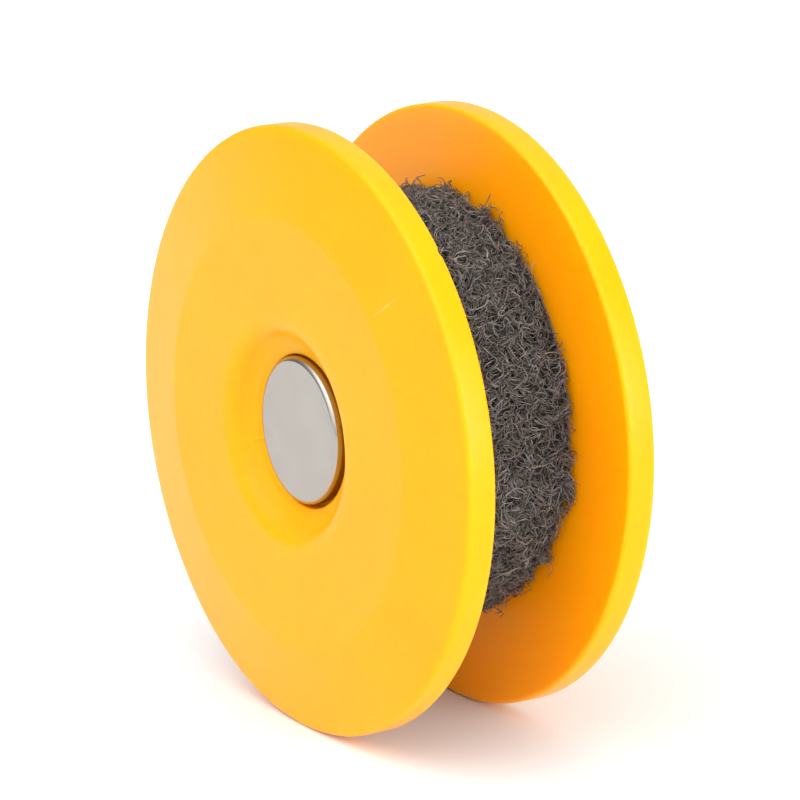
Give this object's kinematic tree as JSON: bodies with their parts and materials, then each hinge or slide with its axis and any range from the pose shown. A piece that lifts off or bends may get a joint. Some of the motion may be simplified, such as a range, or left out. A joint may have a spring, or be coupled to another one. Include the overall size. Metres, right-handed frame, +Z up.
{
  "type": "magnetic glass cleaner",
  "caption": "Round soft discs held face to face by magnets, with a scouring pad on one and a felt pad on the other, for cleaning a glass pane from inside and outside.",
  "frame": {"origin": "on the magnet axis, midway between the two discs, with the pads closed on each other", "axes": "+Y along the magnet axis from the outside (hand) half to the inside (tank) half, +Z up, as the cleaner stands on its rims or hangs on an upright pane"},
  "size_m": [0.06, 0.0244, 0.06],
  "materials": {
    "silicone": "semi-gloss, slightly translucent yellow",
    "nickel_plate": "bright plated edge, satin face",
    "clear_glue": "set epoxy",
    "adhesive_film": "double-sided adhesive film",
    "scouring_fibre": "grey non-woven curled fibre",
    "felt": "dense grey felt"
  },
  "bodies": {
    "rear_half": {"rear_disc": "silicone", "rear_magnet": "nickel_plate", "rear_magnet_glue": "clear_glue", "rear_pad_adhesive": "adhesive_film", "scouring_pad": "scouring_fibre"},
    "front_core": {"front_magnet": "nickel_plate"},
    "front_half": {"front_disc": "silicone", "front_magnet_glue": "clear_glue", "front_pad_adhesive": "adhesive_film", "felt_pad": "felt"}
  },
  "joints": [
    {"name": "pull_apart", "type": "slide", "parent": "rear_half", "child": "front_core", "axis": [0, -1, 0], "range_m": [0, 0.04], "stiffness_N_per_m": 6, "springref_m": -0.1},
    {"name": "front_spin", "type": "hinge", "parent": "front_core", "child": "front_half", "pos_m": [0, -0.0105, 0], "axis": [0, 1, 0], "continuous": true}
  ]
}
